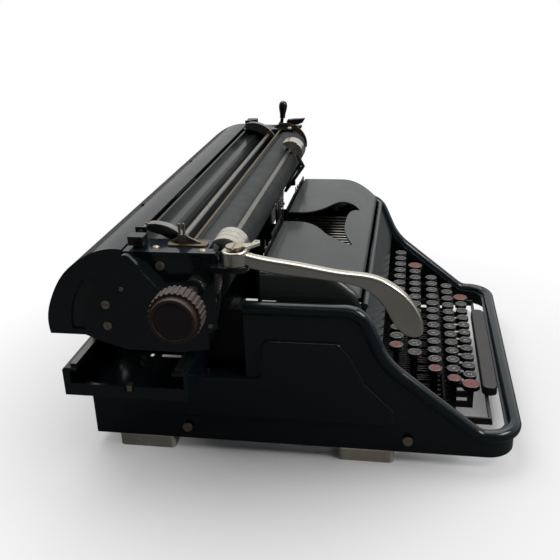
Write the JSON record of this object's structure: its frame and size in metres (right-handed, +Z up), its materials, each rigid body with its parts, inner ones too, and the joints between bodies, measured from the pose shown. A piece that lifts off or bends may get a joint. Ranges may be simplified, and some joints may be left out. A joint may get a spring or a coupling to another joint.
{
  "type": "manual typewriter",
  "caption": "Wide-carriage manual typewriter: enamelled body with rolled rim, round-key keyboard, ribbon cover, platen carriage with covered rear and curved return lever.",
  "frame": {"origin": "centre of the bounding box at the underside of the rubber feet, on the table", "axes": "+X to the operator's right along the platen, +Y towards the back of the machine, +Z up"},
  "size_m": [0.575, 0.4111, 0.2669],
  "materials": {
    "black_enamel": "glossy",
    "grey_sheen_enamel": "glossy",
    "black_works": "satin",
    "foot_rubber": "matte",
    "screw_brass": "worn",
    "rail_steel": "worn",
    "platen_rubber": "satin",
    "feed_rubber": "matte",
    "bare_steel": "satin",
    "nickel": "polished",
    "brown_bakelite": "satin",
    "black_bakelite": "glossy",
    "aged_brass": "worn",
    "key_black": "glossy",
    "bar_brown": "satin"
  },
  "bodies": {
    "body": {"body_shell": "black_enamel", "rubber_feet": "foot_rubber", "body_screws": "screw_brass", "front_plate": "black_enamel", "base_frame": "black_works", "rail_frame": "black_enamel", "carriage_rails": "rail_steel", "carriage_stop_pegs": "screw_brass", "typebar_segment": "black_works", "typebars": "bare_steel", "type_guide": "bare_steel", "key_comb": "bare_steel"},
    "cover": {"ribbon_cover": "grey_sheen_enamel"},
    "left_spool": {"ribbon_spool_left": "bare_steel"},
    "right_spool": {"ribbon_spool_right": "bare_steel"},
    "drum": {"spring_drum": "bare_steel"},
    "escapement": {"escapement_wheel": "aged_brass"},
    "centre_typebar": {"typebar_centre": "bare_steel"},
    "carriage": {"carriage_end_left": "black_enamel", "carriage_end_right": "black_enamel", "carriage_frame": "black_enamel", "carriage_rollers": "rail_steel", "rear_cover": "grey_sheen_enamel", "paper_table": "grey_sheen_enamel", "top_plate_left": "black_enamel", "top_plate_right": "black_enamel", "ratchet_quadrant": "aged_brass", "paper_scale": "aged_brass", "selector_plate": "aged_brass", "margin_rack": "bare_steel", "carriage_screws": "screw_brass"},
    "platen": {"platen": "platen_rubber", "platen_shaft": "bare_steel", "platen_knob": "brown_bakelite", "line_space_wheel": "bare_steel"},
    "front_feed": {"feed_rollers_front": "feed_rubber"},
    "rear_feed": {"feed_rollers_rear": "feed_rubber"},
    "bail": {"paper_bail": "bare_steel", "bail_shields": "nickel", "bail_rollers": "feed_rubber"},
    "paper_support": {"paper_support_rod": "bare_steel"},
    "line_selector": {"selector_lever": "bare_steel"},
    "lever": {"return_lever": "nickel"},
    "interlinear": {"interlinear_lever": "black_enamel"},
    "paper_release": {"paper_release_lever": "black_bakelite"},
    "carriage_release": {"carriage_release_lever": "black_bakelite"},
    "left_latch": {"latch_button_left": "black_bakelite"},
    "right_latch": {"latch_button_right": "black_bakelite"},
    "left_margin": {"margin_stop_left": "bare_steel"},
    "right_margin": {"margin_stop_right": "bare_steel"},
    "space": {"space_bar": "bar_brown"},
    "tab_bank": {"tabulator_keys": "key_black"},
    "number_bank": {"number_keys": "key_black"},
    "backspace": {"backspace_key": "key_black"},
    "upper_bank": {"upper_letter_keys": "key_black"},
    "shift_lock": {"shift_lock_key": "key_black"},
    "home_bank": {"home_letter_keys": "key_black"},
    "centre_key": {"centre_letter_key": "key_black"},
    "lower_bank": {"lower_letter_keys": "key_black"},
    "shifts": {"shift_keys": "key_black"}
  },
  "joints": [
    {"name": "cover_hinge", "type": "hinge", "parent": "body", "child": "cover", "pos_m": [0.0295, -0.05955, 0.1526], "axis": [1, 0, 0], "range_deg": [0, 100]},
    {"name": "carriage_slide", "type": "slide", "parent": "body", "child": "carriage", "axis": [-1, 0, 0], "range_m": [-0.17, 0.112]},
    {"name": "left_spool_spin", "type": "hinge", "parent": "body", "child": "left_spool", "pos_m": [-0.0885, -0.00705, 0.165], "axis": [0, 0, 1], "continuous": true},
    {"name": "right_spool_spin", "type": "hinge", "parent": "body", "child": "right_spool", "pos_m": [0.1475, -0.00705, 0.165], "axis": [0, 0, 1], "continuous": true},
    {"name": "drum_spin", "type": "hinge", "parent": "body", "child": "drum", "pos_m": [-0.0805, 0.14895, 0.1], "axis": [0, 0, 1], "range_deg": [-400, 400]},
    {"name": "escapement_spin", "type": "hinge", "parent": "body", "child": "escapement", "pos_m": [0.0295, 0.12895, 0.12], "axis": [0, 1, 0], "range_deg": [-1150, 1150]},
    {"name": "centre_typebar_hinge", "type": "hinge", "parent": "body", "child": "centre_typebar", "pos_m": [0.0295, 0.03895, 0.133], "axis": [-1, 0, 0], "range_deg": [0, 90]},
    {"name": "platen_spin", "type": "hinge", "parent": "carriage", "child": "platen", "pos_m": [0.0295, 0.06695, 0.208], "axis": [1, 0, 0], "continuous": true},
    {"name": "front_feed_spin", "type": "hinge", "parent": "carriage", "child": "front_feed", "pos_m": [0.0295, 0.068, 0.17782], "axis": [1, 0, 0], "continuous": true},
    {"name": "rear_feed_spin", "type": "hinge", "parent": "carriage", "child": "rear_feed", "pos_m": [0.0295, 0.0825, 0.18211], "axis": [1, 0, 0], "continuous": true},
    {"name": "bail_hinge", "type": "hinge", "parent": "carriage", "child": "bail", "pos_m": [0.0295, 0.05845, 0.172], "axis": [1, 0, 0], "range_deg": [0, 6.5]},
    {"name": "paper_support_hinge", "type": "hinge", "parent": "carriage", "child": "paper_support", "pos_m": [0.0295, 0.11895, 0.241], "axis": [-1, 0, 0], "range_deg": [0, 40]},
    {"name": "line_selector_slide", "type": "slide", "parent": "carriage", "child": "line_selector", "axis": [0, 1, 0], "range_m": [-0.011, 0.003]},
    {"name": "return_lever_hinge", "type": "hinge", "parent": "carriage", "child": "lever", "pos_m": [-0.216, 0.03595, 0.231], "axis": [0, 0, 1], "range_deg": [0, 20], "stiffness_Nm_per_rad": 0.35, "springref_deg": -28.65},
    {"name": "interlinear_hinge", "type": "hinge", "parent": "carriage", "child": "interlinear", "pos_m": [-0.2315, 0.06695, 0.208], "axis": [1, 0, 0], "range_deg": [0, 20]},
    {"name": "paper_release_hinge", "type": "hinge", "parent": "carriage", "child": "paper_release", "pos_m": [0.2695, 0.08295, 0.203], "axis": [1, 0, 0], "range_deg": [-10, 5]},
    {"name": "carriage_release_hinge", "type": "hinge", "parent": "carriage", "child": "carriage_release", "pos_m": [0.2705, 0.06595, 0.239], "axis": [1, 0, 0], "range_deg": [0, 8]},
    {"name": "left_latch_slide", "type": "slide", "parent": "carriage", "child": "left_latch", "axis": [0, 0, -1], "range_m": [0, 0.002], "stiffness_N_per_m": 400, "springref_m": -0.001},
    {"name": "right_latch_slide", "type": "slide", "parent": "carriage", "child": "right_latch", "axis": [0, 0, -1], "range_m": [0, 0.002], "stiffness_N_per_m": 400, "springref_m": -0.001},
    {"name": "left_margin_slide", "type": "slide", "parent": "carriage", "child": "left_margin", "axis": [1, 0, 0], "range_m": [-0.02, 0.15]},
    {"name": "right_margin_slide", "type": "slide", "parent": "carriage", "child": "right_margin", "axis": [1, 0, 0], "range_m": [-0.15, 0.02]},
    {"name": "tab_bank_slide", "type": "slide", "parent": "body", "child": "tab_bank", "axis": [0, 0, -1], "range_m": [0, 0.004], "stiffness_N_per_m": 600, "springref_m": -0.002},
    {"name": "space_hinge", "type": "hinge", "parent": "body", "child": "space", "pos_m": [0.0295, 0.03095, 0.0275], "axis": [1, 0, 0], "range_deg": [0, 4.2], "stiffness_Nm_per_rad": 6, "springref_deg": -6.88},
    {"name": "number_bank_hinge", "type": "hinge", "parent": "body", "child": "number_bank", "pos_m": [0.0295, 0.03095, 0.0275], "axis": [1, 0, 0], "range_deg": [0, 4.2], "stiffness_Nm_per_rad": 6, "springref_deg": -6.88},
    {"name": "backspace_hinge", "type": "hinge", "parent": "body", "child": "backspace", "pos_m": [0.0295, 0.03095, 0.0275], "axis": [1, 0, 0], "range_deg": [0, 4.2], "stiffness_Nm_per_rad": 6, "springref_deg": -6.88},
    {"name": "upper_bank_hinge", "type": "hinge", "parent": "body", "child": "upper_bank", "pos_m": [0.0295, 0.03095, 0.0275], "axis": [1, 0, 0], "range_deg": [0, 4.2], "stiffness_Nm_per_rad": 6, "springref_deg": -6.88},
    {"name": "shift_lock_hinge", "type": "hinge", "parent": "body", "child": "shift_lock", "pos_m": [0.0295, 0.03095, 0.0275], "axis": [1, 0, 0], "range_deg": [0, 4.2], "stiffness_Nm_per_rad": 6, "springref_deg": -6.88},
    {"name": "home_bank_hinge", "type": "hinge", "parent": "body", "child": "home_bank", "pos_m": [0.0295, 0.03095, 0.0275], "axis": [1, 0, 0], "range_deg": [0, 4.2], "stiffness_Nm_per_rad": 6, "springref_deg": -6.88},
    {"name": "centre_key_hinge", "type": "hinge", "parent": "body", "child": "centre_key", "pos_m": [0.0295, 0.03095, 0.0275], "axis": [1, 0, 0], "range_deg": [0, 4.2], "stiffness_Nm_per_rad": 6, "springref_deg": -6.88},
    {"name": "lower_bank_hinge", "type": "hinge", "parent": "body", "child": "lower_bank", "pos_m": [0.0295, 0.03095, 0.0275], "axis": [1, 0, 0], "range_deg": [0, 4.2], "stiffness_Nm_per_rad": 6, "springref_deg": -6.88},
    {"name": "shifts_hinge", "type": "hinge", "parent": "body", "child": "shifts", "pos_m": [0.0295, 0.03095, 0.0275], "axis": [1, 0, 0], "range_deg": [0, 4.2], "stiffness_Nm_per_rad": 6, "springref_deg": -6.88}
  ],
  "couplings": [
    {"joint": "right_spool_spin", "follows": "left_spool_spin", "ratio": 1},
    {"joint": "drum_spin", "follows": "carriage_slide", "rad_per_m": 38.462},
    {"joint": "escapement_spin", "follows": "carriage_slide", "rad_per_m": 111.11},
    {"joint": "front_feed_spin", "follows": "platen_spin", "ratio": -3.4545},
    {"joint": "rear_feed_spin", "follows": "platen_spin", "ratio": -3.4545},
    {"joint": "centre_typebar_hinge", "follows": "centre_key_hinge", "ratio": 21.419}
  ]
}
